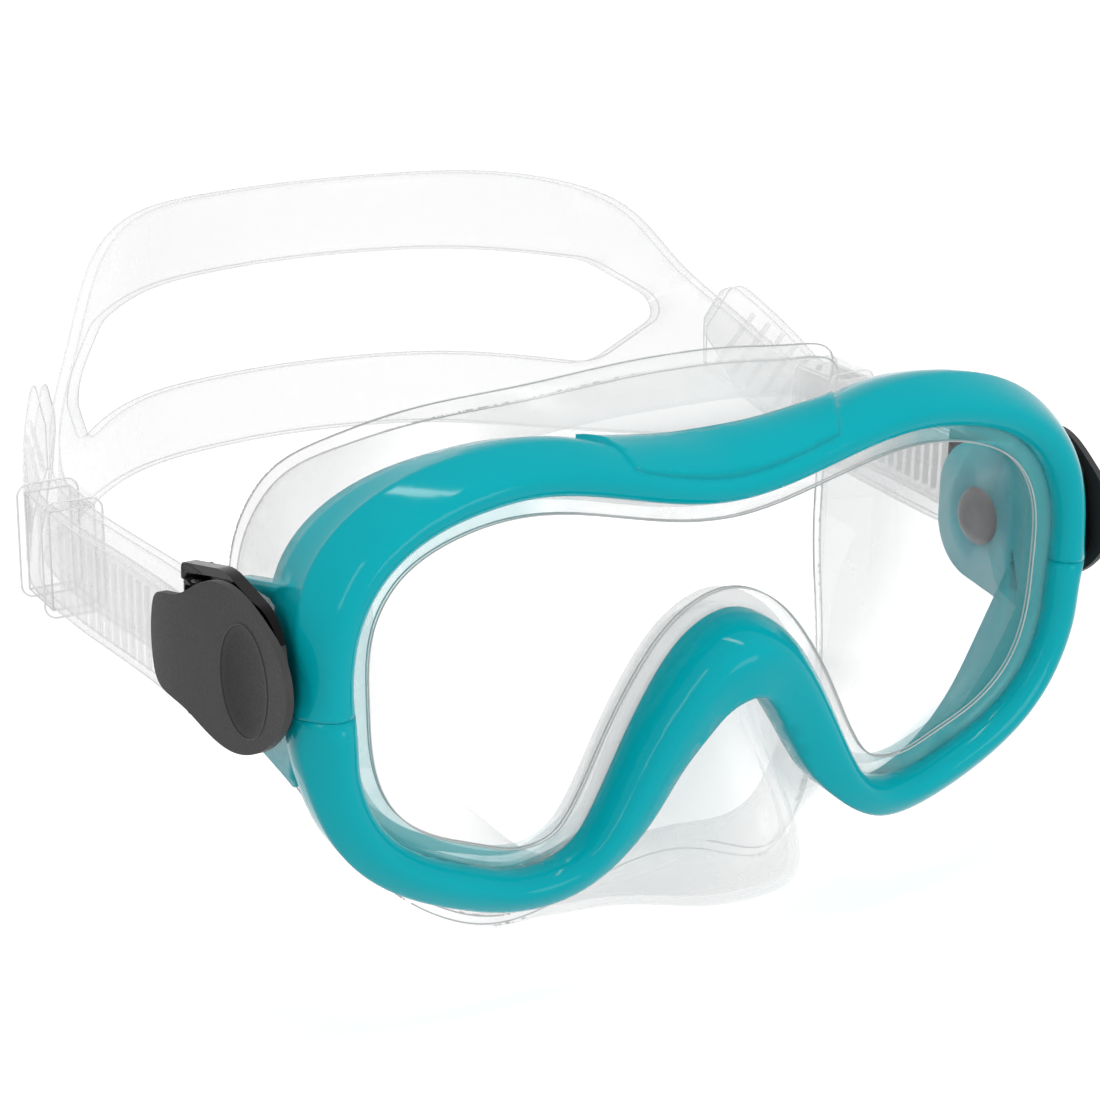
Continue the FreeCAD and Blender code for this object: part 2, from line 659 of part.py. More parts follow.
def thumb_dish():
    """Flat ellipsoid that dishes the lever's thumb pad, square to the lever's outer face."""
    outer = lever_curve(0.0)
    slope = (outer[2][0] - outer[1][0]) / (outer[2][1] - outer[1][1])
    pad_back = 10.0
    depth = size("pad_dish_depth")
    pad_half_height = 9.4
    radius = (pad_half_height ** 2 + depth ** 2) / (2 * depth)
    narrow = FreeCAD.Matrix()
    narrow.scale(1.0, 0.67, 1.0)
    dish = Part.makeSphere(radius).transformGeometry(narrow)
    dish.translate(Vector(radius - depth, 0, 0))
    dish.rotate(Vector(0, 0, 0), Vector(0, 0, 1), -math.degrees(math.atan(slope)))
    face = outer[1][0] + slope * (pad_back - outer[1][1])
    dish.translate(Vector(face, pad_back, size("strap_centre_height") + 1.9))
    return dish


def make_release_lever():
    """Matt release lever: a curved cover with a dished thumb pad, a pin barrel and a pawl."""
    plate = Part.Face(lever_outline(60.0)).extrude(Vector(50, 0, 0))
    shape = plate.common(lever_slab(0.0, size("lever_thickness"), -60, 60))
    across, back = pin_place("lever")
    low, high = ear_span()
    middle = size("strap_centre_height")
    length = high - low - 0.8
    barrel = Part.makeCylinder(size("lever_barrel_radius"), length,
                               Vector(across, back, low + 0.4))
    web = Part.makeBox(2.4, 2.4, length, Vector(across, back - 1.2, low + 0.4))
    shape = shape.fuse(barrel).fuse(web)
    pawl_root = lever_curve(size("lever_thickness"))[3][0]
    pawl_back = 25.0
    pawl = side_prism([(pawl_back - 1.0, middle - 6.0, 0.4), (pawl_back + 0.6, middle - 6.0, 0.4),
                       (pawl_back + 0.6, middle + 6.0, 0.4), (pawl_back - 1.0, middle + 6.0, 0.4)],
                      pawl_root - 2.6, pawl_root + 0.2)
    shape = shape.fuse(pawl)
    shape = shape.cut(thumb_dish())
    shape = shape.cut(Part.makeCylinder(size("lever_pin_radius") + size("running_gap"), length + 4,
                                        Vector(across, back, low - 1)))
    return feature("release_lever_left", shape.removeSplitter())


def make_pin(label, kind, radius_rule):
    """Steel pin pressed into both ears of the buckle."""
    pin = doc.addObject("Part::Cylinder", label)
    pin.Label = label
    pin.setExpression("Radius", radius_rule)
    pin.setExpression("Height", "sizes.strap_width + 1.2 + 2 * sizes.ear_thickness")
    across, back = pin_place(kind)
    pin.Placement = Placement(Vector(across, back, ear_span()[0] - size("ear_thickness")), Rotation())
    return pin


def make_roller():
    """Strap roller: a tube that turns on its pin between the ears."""
    body = new_body("strap_roller_left")
    sketch = add_sketch(body, "roller_section", "XY_Plane",
                        [circle((0, 0), size("roller_radius")),
                         circle((0, 0), size("roller_pin_radius") + size("running_gap"))])
    add_pad(body, "roller_tube", sketch, "sizes.strap_width + 0.4")
    across, back = pin_place("roller")
    low = size("strap_centre_height") - size("strap_width") / 2 - 0.2
    body.Placement = Placement(Vector(across, back, low), Rotation())
    return body


def make_spring():
    """Leaf spring under the thumb pad: flat foot on the floor, quarter bend up to the lever."""
    body = new_body("lever_spring_left")
    thick = size("spring_thickness")
    floor = buckle_floor_face() + 0.02
    bend = lever_curve(size("lever_thickness"))[1][0] - floor + 0.5
    heel = 18.3
    toe = 22.3
    middle = Vector(floor + bend, heel, 0)
    tight = bend - thick
    slant = math.sqrt(0.5)
    geometry = [
        Part.LineSegment(Vector(floor, toe, 0), Vector(floor, heel, 0)),
        Part.Arc(Vector(floor, heel, 0), middle + Vector(-slant, -slant, 0) * bend,
                 middle + Vector(0, -bend, 0)),
        Part.LineSegment(middle + Vector(0, -bend, 0), middle + Vector(0, -tight, 0)),
        Part.Arc(middle + Vector(0, -tight, 0), middle + Vector(-slant, -slant, 0) * tight,
                 Vector(floor + thick, heel, 0)),
        Part.LineSegment(Vector(floor + thick, heel, 0), Vector(floor + thick, toe, 0)),
        Part.LineSegment(Vector(floor + thick, toe, 0), Vector(floor, toe, 0))]
    sketch = add_sketch(body, "spring_profile", "XY_Plane", geometry,
                        "sizes.strap_centre_height - sizes.spring_width / 2")
    add_pad(body, "spring_leaf", sketch, "sizes.spring_width")
    return body


# ---------------------------------------------------------------- strap and keepers

def strap_path():
    """Middle line of the strap in plan, from the left roller round the back to the middle."""
    side = strap_inner_face() + size("strap_thickness") / 2
    back = size("strap_back")
    front = size("roller_back")
    shares = [(0.0, 0.0), (0.0, 0.06), (1.0, 0.18), (2.2, 0.31), (1.9, 0.43), (-2.2, 0.55),
              (-11.7, 0.675), (-26.6, 0.828), (-44.6, 0.947), (-65.1, 0.992)]
    points = [Vector(side + out, front + share * (back - front), 0) for out, share in shares]
    return points + [Vector(0, back, 0)]


def offset_line(points, shift):
    """The same line moved sideways, away from the head for a positive shift."""
    moved = []
    for i, point in enumerate(points):
        if i == 0:
            tangent = Vector(0, 1, 0)
        elif i == len(points) - 1:
            tangent = Vector(-1, 0, 0)
        else:
            tangent = (points[i + 1] - points[i - 1]).normalize()
        moved.append(point + Vector(tangent.y, -tangent.x, 0) * shift)
    return moved


def strap_back_profile():
    """Side outline of the strap: narrow sides that widen into the split back."""
    middle = size("strap_centre_height")
    half = size("strap_width") / 2
    top = [(88.0, middle + half), (97.0, middle + half + 1.6), (108.0, middle + half + 8.0),
           (119.0, middle + half + 17.5), (128.0, middle + half + 28.5),
           (139.0, middle + half + 32.8), (152.0, middle + half + 34.0), (185.0, middle + half + 34.6)]
    bottom = [(185.0, middle - half - 6.0), (140.0, middle - half - 6.0),
              (118.0, middle - half - 3.2), (100.0, middle - half - 0.4), (88.0, middle - half)]
    front = size("roller_back") + 2.0
    start_top = Vector(-200, front, middle + half)
    start_bottom = Vector(-200, front, middle - half)
    top_points = [Vector(-200, y, z) for y, z in top]
    bottom_points = [Vector(-200, y, z) for y, z in bottom]
    edges = [Part.LineSegment(start_top, top_points[0]).toShape(), open_spline(top_points),
             Part.LineSegment(top_points[-1], bottom_points[0]).toShape(),
             open_spline(bottom_points),
             Part.LineSegment(bottom_points[-1], start_bottom).toShape(),
             Part.LineSegment(start_bottom, start_top).toShape()]
    outline = Part.Face(Part.Wire(edges)).extrude(Vector(400, 0, 0))
    crown = middle + half + 34.6 - size("strap_upper_band")
    nape = middle - half - 6.0 + size("strap_lower_band")
    slit = side_prism([(121.0, (crown + nape) / 2 + 3.0, 4.5), (136.0, crown - 1.0, 9.0),
                       (185.0, crown + 0.4, 0.5), (185.0, nape, 0.5), (138.0, nape, 12.0)],
                      -200, 200)
    return outline.cut(slit)


def tail_profile():
    """Side outline of the loop and the tail, which lifts with the strap behind the keeper."""
    middle = size("strap_centre_height")
    half = size("strap_width") / 2
    reach = size("roller_back") + size("tail_length")
    corners = [(20.0, middle + half, 0.1), (93.5, middle + half, 5.0),
               (reach - 3.0, middle + half + 14.5, 2.5), (reach + 4.5, middle - half + 14.5, 2.5),
               (97.0, middle - half, 8.0), (20.0, middle - half, 0.1)]
    return side_prism(corners, -200, 200)


def make_strap():
    """Clear strap in one piece: split back, narrow sides and a tail doubled over each roller."""
    path = strap_path()
    half = size("strap_thickness") / 2
    outer = offset_line(path, half)
    inner = offset_line(path, -half)
    whole_outer = outer + [mirrored(p) for p in reversed(outer[:-1])]
    whole_inner = inner + [mirrored(p) for p in reversed(inner[:-1])]
    lean = math.tan(math.radians(size("strap_lean")))
    low = -30.0
    high = 70.0
    level = 18.0
    base = Vector(0, (level - low) * lean, low)
    edges = [open_spline(whole_outer), open_spline(whole_inner),
             Part.LineSegment(whole_outer[0], whole_inner[0]).toShape(),
             Part.LineSegment(whole_outer[-1], whole_inner[-1]).toShape()]
    ring = Part.Face(Part.Wire(Part.__sortEdges__(edges)))
    ring.translate(base)
    ring = ring.extrude(Vector(0, -(high - low) * lean, high - low))
    main = ring.common(strap_back_profile())

    across = roller_across()
    front = size("roller_back")
    near = size("roller_radius") + size("roller_gap")
    far = near + size("strap_thickness")
    apart = near + far
    count = 8
    tail = []
    snug = size("strap_thickness") + 0.6
    keeper_end = size("keeper_back") + size("keeper_length") / 2 + 2.0
    for i in range(count):
        target = front + i / (count - 1) * size("tail_length")
        beyond = max(target - keeper_end, 0.0) / (front + size("tail_length") - keeper_end)
        run = path_point(path, target + 3) - path_point(path, target - 3)
        outward = Vector(run.y, -run.x, 0).normalize()
        tail.append(path_point(path, target) + outward * (apart + (snug - apart) * beyond))
    tail[0] = Vector(across + (near + far) / 2, front, 0)
    tail_out = offset_line(tail, half)
    tail_in = offset_line(tail, -half)
    tail_out[-1] = tail[-1] + side_of(tail) * half
    tail_in[-1] = tail[-1] - side_of(tail) * half
    centre = Vector(across, front, 0)
    join = front + 3.0
    edges = [
        Part.LineSegment(Vector(across - far, join, 0), Vector(across - far, front, 0)).toShape(),
        Part.Arc(Vector(across - far, front, 0), centre + Vector(0, -far, 0),
                 Vector(across + far, front, 0)).toShape(),
        open_spline([Vector(across + far, front, 0)] + tail_out[1:]),
        Part.LineSegment(tail_out[-1], tail_in[-1]).toShape(),
        open_spline(list(reversed([Vector(across + near, front, 0)] + tail_in[1:]))),
        Part.Arc(Vector(across + near, front, 0), centre + Vector(0, -near, 0),
                 Vector(across - near, front, 0)).toShape(),
        Part.LineSegment(Vector(across - near, front, 0), Vector(across - near, join, 0)).toShape(),
        Part.LineSegment(Vector(across - near, join, 0), Vector(across - far, join, 0)).toShape()]
    loop = Part.Face(Part.Wire(edges))
    loop.translate(Vector(0, 0, low))
    loop = loop.extrude(Vector(0, 0, high - low)).common(tail_profile())
    strap = main.fuse(loop).fuse(loop.mirror(Vector(0, 0, 0), Vector(1, 0, 0)))
    return feature("strap", strap.removeSplitter())


def path_point(path, back):
    """Point of the strap's middle line at a given distance back, between its plan points."""
    for a, b in zip(path, path[1:]):
        if a.y <= back <= b.y:
            return a + (b - a) * ((back - a.y) / (b.y - a.y))
    return path[-1]


def side_of(line):
    """Unit vector to the outer side of a line at its last point."""
    run = (line[-1] - line[-2]).normalize()
    return Vector(run.y, -run.x, 0)


def make_keeper():
    """Clear keeper: a short sleeve that holds the tail against the strap."""
    near = size("roller_radius") + size("roller_gap")
    apart = 2 * near + size("strap_thickness")
    gap = size("keeper_gap")
    wall = size("keeper_wall")
    wide = apart + size("strap_thickness") + 2 * gap
    tall = size("strap_width") + 2 * gap
    length = size("keeper_length")
    sleeve = Part.makeBox(wide + 2 * wall, length, tall + 2 * wall,
                          Vector(-wide / 2 - wall, -length / 2, -tall / 2 - wall))
    long_edges = [e for e in sleeve.Edges if abs(e.tangentAt(0).y) > 0.9]
    sleeve = sleeve.makeFillet(2.4, long_edges)
    sleeve = sleeve.cut(Part.makeBox(wide, length + 2, tall,
                                     Vector(-wide / 2, -length / 2 - 1, -tall / 2)))
    node = feature("strap_keeper_left", sleeve)
    path = strap_path()
    back = size("keeper_back")
    spot = path_point(path, back)
    run = path_point(path, back + 4) - path_point(path, back - 4)
    angle = math.degrees(math.atan2(-run.x, run.y))
    node.Placement = Placement(Vector(spot.x + apart / 2, back, size("strap_centre_height")),
                               Rotation(Vector(0, 0, 1), angle))
    return node


# ---------------------------------------------------------------- assembly

nodes = [make_lens(), make_skirt(), make_frame_upper(), make_frame_lower(), make_strap()]
left_pieces = [
    make_swivel_post(), make_buckle_body(), make_release_lever(), make_roller(), make_spring(),
    make_pin("roller_pin_left", "roller", "sizes.roller_pin_radius"),
    make_pin("lever_pin_left", "lever", "sizes.lever_pin_radius"),
    make_keeper(),
]
lens_face = size("frame_back") + size("soft_gap") + size("lip_thickness")
for piece in nodes + left_pieces:
    place = piece.Placement
    place.Base = place.Base - Vector(0, lens_face, size("origin_height"))
    piece.Placement = place
for piece in left_pieces:
    nodes.append(piece)
    nodes.append(mirror_node(piece, piece.Label.replace("_left", "_right")))
doc.recompute()

for item in doc.Objects:
    if "Invalid" in item.State or "Error" in item.State:
        raise RuntimeError("failed object: " + item.Label)
for node in nodes:
    if node.Shape.isNull() or not node.Shape.isValid():
        raise RuntimeError("bad shape: " + node.Label)

os.makedirs("parts", exist_ok=True)
for node in nodes:
    node.Shape.exportStep("parts/" + node.Label + ".step")
    print("%-22s solids %d volume %9.1f" % (node.Label, len(node.Shape.Solids), node.Shape.Volume))
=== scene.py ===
import math
import bmesh
import bpy
from mathutils import Matrix, Vector
from mathutils.bvhtree import BVHTree


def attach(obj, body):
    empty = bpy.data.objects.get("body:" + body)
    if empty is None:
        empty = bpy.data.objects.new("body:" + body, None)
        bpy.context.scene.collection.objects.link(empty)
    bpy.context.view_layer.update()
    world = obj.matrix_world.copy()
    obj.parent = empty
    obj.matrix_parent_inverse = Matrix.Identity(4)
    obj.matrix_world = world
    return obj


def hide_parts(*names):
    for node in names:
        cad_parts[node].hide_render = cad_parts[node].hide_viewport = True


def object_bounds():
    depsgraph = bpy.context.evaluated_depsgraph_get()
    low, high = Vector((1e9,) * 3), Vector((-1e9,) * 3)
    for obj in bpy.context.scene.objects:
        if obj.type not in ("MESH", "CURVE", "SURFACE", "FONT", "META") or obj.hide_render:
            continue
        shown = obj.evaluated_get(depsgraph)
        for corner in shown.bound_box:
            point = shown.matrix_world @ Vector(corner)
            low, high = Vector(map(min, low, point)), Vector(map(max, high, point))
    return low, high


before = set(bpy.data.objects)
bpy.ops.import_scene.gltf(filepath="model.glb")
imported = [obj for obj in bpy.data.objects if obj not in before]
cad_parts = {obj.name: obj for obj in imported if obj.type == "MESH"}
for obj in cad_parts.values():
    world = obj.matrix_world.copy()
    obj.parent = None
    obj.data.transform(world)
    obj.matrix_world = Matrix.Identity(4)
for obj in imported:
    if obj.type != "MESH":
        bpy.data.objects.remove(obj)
cad_low, cad_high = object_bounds()

# Studio: a white light table under soft lights. The sky lights the mask evenly, the two long
# strips above and beside it draw the narrow highlights on the glossy plastic, and the round
# softbox in front reaches into the window.
WHITE = (1.0, 1.0, 1.0, 1.0)
SKY_LEVEL = 0.60
STUDIO_LAMPS = [
    # name, shape, place, size, power
    ("overhead_strip", "RECTANGLE", (-0.08, 0.02, 0.95), (0.70, 0.05), 3.0),
    ("left_strip", "RECTANGLE", (-0.85, -0.35, 0.50), (0.08, 0.60), 1.1),
    ("front_softbox", "DISK", (0.20, -1.05, 0.12), (0.60, 0.60), 4.6),
]
LAMP_AIM = Vector((0.0, 0.06, -0.01))
FLOOR_SIZE = 3.0
FLOOR_DROP = 0.0005
FLOOR_COLOUR = (0.82, 0.82, 0.82, 1)
FLOOR_ROUGHNESS = 0.9
FLOOR_GLOW = 0.48


def worked_out(tree, operation, *values):
    """The result of a sum on sockets and plain numbers."""
    sum_node = tree.nodes.new("ShaderNodeMath")
    sum_node.operation = operation
    for socket, value in zip(sum_node.inputs, values):
        if isinstance(value, float):
            socket.default_value = value
        else:
            tree.links.new(value, socket)
    return sum_node.outputs[0]


def ramped(tree, value, start, end, at_start, at_end):
    """Goes from at_start to at_end as a value goes from start to end, and stays there."""
    ramp = tree.nodes.new("ShaderNodeMapRange")
    for name, number in (("From Min", start), ("From Max", end),
                         ("To Min", at_start), ("To Max", at_end)):
        ramp.inputs[name].default_value = number
    tree.links.new(value, ramp.inputs["Value"])
    return ramp.outputs[0]


def seen_directly(tree):
    """1 for rays that come from the camera, a reflection or through glass, 0 for light itself."""
    path = tree.nodes.new("ShaderNodeLightPath")
    total = path.outputs["Is Camera Ray"]
    for kind in ("Is Glossy Ray", "Is Transmission Ray"):
        total = worked_out(tree, "MAXIMUM", total, path.outputs[kind])
    return total


def new_material(name, roughness=0.5, specular=0.5):
    material = bpy.data.materials.new(name)
    material.use_nodes = True
    shader = material.node_tree.nodes["Principled BSDF"]
    shader.inputs["Roughness"].default_value = roughness
    shader.inputs["Specular IOR Level"].default_value = specular
    return material, material.node_tree, shader


sky = bpy.data.worlds.new("white_studio")
sky.use_nodes = True
sky_light = sky.node_tree.nodes["Background"]
sky_light.inputs["Color"].default_value = WHITE
sky_strength = ramped(sky.node_tree, seen_directly(sky.node_tree), 0.0, 1.0, SKY_LEVEL, 1.0)
sky.node_tree.links.new(sky_strength, sky_light.inputs["Strength"])
bpy.context.scene.world = sky

for lamp_name, lamp_shape, lamp_place, lamp_size, lamp_power in STUDIO_LAMPS:
    light = bpy.data.lights.new(lamp_name, "AREA")
    light.shape = lamp_shape
    light.size, light.size_y = lamp_size
    light.energy = lamp_power
    stand = bpy.data.objects.new(lamp_name, light)
    turn = (LAMP_AIM - Vector(lamp_place)).to_track_quat("-Z", "Y").to_matrix().to_4x4()
    stand.matrix_world = Matrix.Translation(lamp_place) @ turn
    bpy.context.scene.collection.objects.link(stand)

floor_mesh = bpy.data.meshes.new("studio_floor")
floor_shape = bmesh.new()
bmesh.ops.create_grid(floor_shape, x_segments=1, y_segments=1, size=FLOOR_SIZE)
bmesh.ops.translate(floor_shape, verts=floor_shape.verts, vec=(0, 0, cad_low.z - FLOOR_DROP))
floor_shape.to_mesh(floor_mesh)
floor_shape.free()
floor = bpy.data.objects.new("studio_floor", floor_mesh)
bpy.context.scene.collection.objects.link(floor)
floor_white, tree, shader = new_material("floor_white", FLOOR_ROUGHNESS, specular=0.0)
shader.inputs["Base Color"].default_value = FLOOR_COLOUR
shader.inputs["Emission Color"].default_value = WHITE
floor_glow = worked_out(tree, "MULTIPLY", seen_directly(tree), FLOOR_GLOW)
tree.links.new(floor_glow, shader.inputs["Emission Strength"])
floor_mesh.materials.append(floor_white)

# Camera: a long lens on a stand at the wearer's front right. It looks down at the mask from a
# little above it and is turned a touch on its own axis.
CAMERA_PLACE = (-0.24515, -0.34533, 0.15361)
CAMERA_TURN = (70.0, -31.446, 0.98)
CAMERA_LENS = 88.99
SENSOR_WIDTH = 36.0
NEAREST = 0.01
lens_unit = bpy.data.cameras.new("studio_camera")
lens_unit.lens = CAMERA_LENS
lens_unit.sensor_width = SENSOR_WIDTH
lens_unit.clip_start = NEAREST
camera = bpy.data.objects.new("studio_camera", lens_unit)
tilt, turn, roll = [math.radians(angle) for angle in CAMERA_TURN]
camera.matrix_world = (Matrix.Translation(CAMERA_PLACE) @ Matrix.Rotation(turn, 4, "Z")
                       @ Matrix.Rotation(tilt, 4, "X") @ Matrix.Rotation(roll, 4, "Z"))
bpy.context.scene.collection.objects.link(camera)
bpy.context.scene.camera = camera
bpy.context.scene.view_settings.view_transform = "Standard"

# Frame: two halves of injection-moulded polycarbonate, snapped together over the skirt at the
# side seams. The tool was polished, so the skin is glossy with only a faint flow in its colour.
TEAL_DEEP = (0.000, 0.338, 0.394, 1)
TEAL_BRIGHT = (0.002, 0.390, 0.447, 1)
TEAL_SPECULAR = 0.09
FLOW_DETAIL = 3.0
GRAIN_DETAIL = 4.0
GRAIN_MIX = 0.6
GRAIN_LOW, GRAIN_HIGH = 0.3, 0.7
RELIEF_DEPTH = 0.0002
JOIN_DISTANCE = 0.000001
SHOULDER = math.radians(62)


def moulded_skin_group():
    """Moulded plastic: slow colour drift, fine grain in roughness, and a shallow relief."""
    group = bpy.data.node_groups.new("moulded_skin", "ShaderNodeTree")
    for name, value in (("Flow Scale", 40.0), ("Grain Scale", 900.0), ("Smoothest", 0.1),
                        ("Roughest", 0.2), ("Relief", 0.05)):
        socket = group.interface.new_socket(name, in_out="INPUT", socket_type="NodeSocketFloat")
        socket.default_value = value
    for name in ("Drift", "Roughness"):
        group.interface.new_socket(name, in_out="OUTPUT", socket_type="NodeSocketFloat")
    group.interface.new_socket("Normal", in_out="OUTPUT", socket_type="NodeSocketVector")
    given = group.nodes.new("NodeGroupInput")
    result = group.nodes.new("NodeGroupOutput")
    place = group.nodes.new("ShaderNodeTexCoord")
    flow = group.nodes.new("ShaderNodeTexNoise")
    flow.inputs["Detail"].default_value = FLOW_DETAIL
    grain = group.nodes.new("ShaderNodeTexNoise")
    grain.inputs["Detail"].default_value = GRAIN_DETAIL
    grain.inputs["Roughness"].default_value = GRAIN_MIX
    spread = group.nodes.new("ShaderNodeMapRange")
    spread.inputs["From Min"].default_value = GRAIN_LOW
    spread.inputs["From Max"].default_value = GRAIN_HIGH
    relief = group.nodes.new("ShaderNodeBump")
    relief.inputs["Distance"].default_value = RELIEF_DEPTH
    join = group.links.new
    for noise, scale in ((flow, "Flow Scale"), (grain, "Grain Scale")):
        join(place.outputs["Object"], noise.inputs["Vector"])
        join(given.outputs[scale], noise.inputs["Scale"])
    join(grain.outputs["Fac"], spread.inputs["Value"])
    join(given.outputs["Smoothest"], spread.inputs["To Min"])
    join(given.outputs["Roughest"], spread.inputs["To Max"])
    join(given.outputs["Relief"], relief.inputs["Strength"])
    join(grain.outputs["Fac"], relief.inputs["Height"])
    join(flow.outputs["Fac"], result.inputs["Drift"])
    join(spread.outputs[0], result.inputs["Roughness"])
    join(relief.outputs["Normal"], result.inputs["Normal"])
    return group


MOULDED_SKIN = moulded_skin_group()


def two_toned(tree, shader, dark, light, values):
    """A colour that drifts between two tones and a grained roughness. Returns the skin."""
    skin = tree.nodes.new("ShaderNodeGroup")
    skin.node_tree = MOULDED_SKIN
    for socket, value in values.items():
        skin.inputs[socket.replace("_", " ").title()].default_value = value
    tones = tree.nodes.new("ShaderNodeMix")
    tones.data_type = "RGBA"
    tones.inputs["A"].default_value = dark
    tones.inputs["B"].default_value = light
    tree.links.new(skin.outputs["Drift"], tones.inputs["Factor"])
    tree.links.new(tones.outputs["Result"], shader.inputs["Base Color"])
    tree.links.new(skin.outputs["Roughness"], shader.inputs["Roughness"])
    return skin


def moulded_material(name, dark, light, specular, **values):
    """Plastic, rubber or metal whose colour drifts between two tones, with the moulded skin."""
    material, tree, shader = new_material(name, specular=specular)
    skin = two_toned(tree, shader, dark, light, values)
    tree.links.new(skin.outputs["Normal"], shader.inputs["Normal"])
    return material, tree, shader


def finish_node(material, *names):
    """Gives CAD nodes their finish; their shape is right as it is."""
    for name in names:
        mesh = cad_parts[name].data
        mesh.materials.clear()
        mesh.materials.append(material)


def new_piece(name, mesh):
    piece = bpy.data.objects.new(name, mesh)
    bpy.context.scene.collection.objects.link(piece)
    return piece


def merged_copy(node, name, sharpest):
    """A new piece with a CAD node's shape, its loose triangles joined into one smooth skin."""
    shape = bmesh.new()
    shape.from_mesh(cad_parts[node].data)
    bmesh.ops.remove_doubles(shape, verts=shape.verts, dist=JOIN_DISTANCE)
    for face in shape.faces:
        face.smooth = True
    mesh = bpy.data.meshes.new(name)
    shape.to_mesh(mesh)
    shape.free()
    mesh.set_sharp_from_angle(angle=sharpest)
    return new_piece(name, mesh)


teal = moulded_material("teal_frame_plastic", TEAL_DEEP, TEAL_BRIGHT, TEAL_SPECULAR,
                        flow_scale=35.0, grain_scale=700.0, smoothest=0.06, roughest=0.11,
                        relief=0.02)[0]
for half in ("upper", "lower"):
    shell = merged_copy("frame_" + half, "frame_shell_" + half, SHOULDER)
    shell.data.materials.append(teal)
    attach(shell, "mask")
    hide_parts("frame_" + half)

# Lens: one pane of tempered glass, cut to the window with its edge ground. It is clear, with
# hardly any green in it, and so well polished that little of its surface shows.
GLASS_TINT = (0.965, 1.0, 0.988, 1)
GLASS_CLEAR = (0.99, 1.0, 0.996, 1)
GLASS_BODY = 0.05
GLASS_IOR = 1.45
glass, tree, shader = new_material("tempered_glass")
shader.inputs["Transmission Weight"].default_value = 1.0
shader.inputs["IOR"].default_value = GLASS_IOR
shader.inputs["Alpha"].default_value = GLASS_BODY
two_toned(tree, shader, GLASS_TINT, GLASS_CLEAR, {
    "flow_scale": 25.0, "grain_scale": 300.0, "smoothest": 0.0, "roughest": 0.012,
    "relief": 0.0})
finish_node(glass, "lens")

# Skirt: clear liquid silicone, moulded in one with the lens rim, the side walls, the nose pocket
# and the thin face seal. It is slightly cloudy, with a painted glow. Its rims are drawn as solid
# grey tubes, painted shade for how the clear edges darken. The tool is polished at the front; the
# lip in the frame's groove is painted the frame's teal with a teal painted glow, for the lit
# frame behind it.
SHARP = math.radians(50)
SILICONE_DARK = (0.67, 0.67, 0.67, 1)
SILICONE_PALE_AND_GLOW = (0.73, 0.73, 0.73, 1)
SILICONE_SPECULAR = 0.45
# Painted glow: the silicone gives off a faint light of its own, standing in for light scattered
# inside it.
SILICONE_PAINTED_GLOW = 0.24
SILICONE_GRAIN = 0.12
SLANT_BLEND = 0.35
SKIRT_CLEAREST, SKIRT_MILKIEST = 0.30, 0.44
SKIRT_ROUGHNESS = 0.16
SKIRT_RIM_RADIUS = 0.00014
SKIRT_FOLD = math.radians(27)
# Which folds are rims: the seal's opening as an oval, the chin's edge, the lip and the walls.
SEAL_HALF_WIDTH, SEAL_HALF_HEIGHT = 0.0545, 0.0455
SEAL_MIDDLE = -0.0203
CHIN_EDGE = -0.0605
CHIN_SLOPE = 0.2
CHIN_WIDTH = 0.032
LIP_BACK = 0.0003
WALL_FRONT = 0.014
# Where the polished front turns into the milky back, and the nose pocket into the lobes.
CLEAR_FRONT, MILKY_BACK = 0.024, 0.042
POCKET_WIDTH, SIDE_START = 0.027, 0.040
CLEAR_SHARE = 0.05
# Painted teal: the lip in the frame's groove is coloured and glows with the frame's teal, and is
# made more solid there.
LIP_PAINTED_TEAL = (0.10, 0.46, 0.49, 1)
LIP_DEPTH, LIP_END = 0.006, 0.011
LIP_PAINT_COVER = 0.26
# Painted shade: the rims are solid grey tubes standing in for how the clear edges darken, with a
# painted glow.
PAINTED_RIM_DEEP = (0.36, 0.37, 0.37, 1)
PAINTED_RIM_PALE = (0.46, 0.47, 0.47, 1)
RIM_SPECULAR = 0.4
PAINTED_RIM_GLOW = 0.12


def tube_along(name, wire, radius):
    """A closed round tube along a mesh of bare edges."""
    line = new_piece(name + "_line", wire)
    bpy.ops.object.select_all(action="DESELECT")
    line.select_set(True)
    bpy.context.view_layer.objects.active = line
    bpy.ops.object.convert(target="CURVE")
    line = bpy.context.view_layer.objects.active
    line.data.bevel_depth = radius
    line.data.bevel_resolution = 1
    line.data.use_fill_caps = True
    mesh = bpy.data.meshes.new_from_object(line)
    mesh.materials.clear()
    bpy.data.objects.remove(line)
    for face in mesh.polygons:
        face.use_smooth = True
    return new_piece(name, mesh)


def rim_lines(piece, name, radius, sharpest=SHARP, is_rim=lambda middle: True):
    """Thin tubes along a silicone piece's sharp rims."""
    shape = bmesh.new()
    shape.from_mesh(piece.data)
    flat = [edge for edge in shape.edges
            if len(edge.link_faces) != 2 or edge.calc_face_angle() < sharpest
            or not is_rim((edge.verts[0].co + edge.verts[1].co) / 2)]
    bmesh.ops.delete(shape, geom=flat, context="EDGES")
    bmesh.ops.delete(shape, geom=shape.faces, context="FACES_ONLY")
    bare = [vert for vert in shape.verts if not vert.link_edges]
    bmesh.ops.delete(shape, geom=bare, context="VERTS")
    wire = bpy.data.meshes.new(name + "_wire")
    shape.to_mesh(wire)
    shape.free()
    return tube_along(name, wire, radius)


